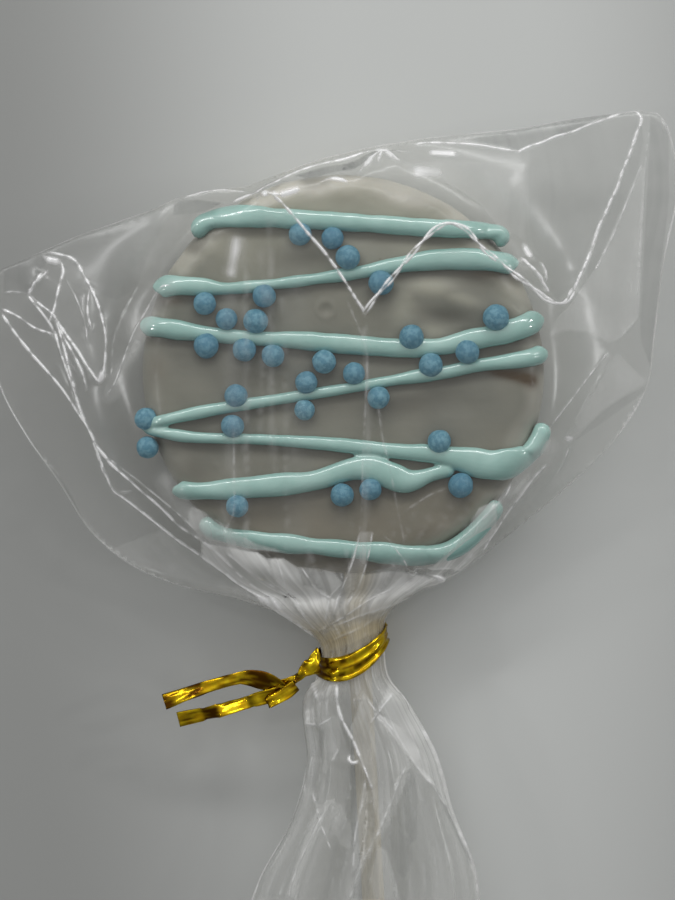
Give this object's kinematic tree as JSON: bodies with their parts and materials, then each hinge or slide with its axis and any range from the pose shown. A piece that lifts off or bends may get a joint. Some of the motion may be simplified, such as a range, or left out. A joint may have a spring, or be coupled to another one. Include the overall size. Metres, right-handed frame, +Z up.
{
  "type": "cake pop",
  "caption": "Flat round dipped cake pop on a paper stick, with drizzle and sugar pearls, in a clear gathered bag closed by a foil twist tie. It lies on its back.",
  "frame": {"origin": "on the ground under the middle of the whole part's box, with the pop lying on its back", "axes": "+Y along the stick from its free end to the pop, +Z up, out of the decorated face, +X to the right of that face"},
  "size_m": [0.1224, 0.198, 0.0193],
  "materials": {
    "coating": "dipped ivory candy coating, satin",
    "drizzle": "pale aqua candy drizzle, glossy",
    "pearl": "pale blue sugar pearls, chalky",
    "paper": "rolled white paper, matt",
    "film": "clear film, creased and glossy",
    "foil": "lemon gold foil, crinkled"
  },
  "bodies": {
    "root": {"pop": "coating", "stick": "paper", "bag": "film", "twist_tie": "foil"}
  },
  "joints": []
}
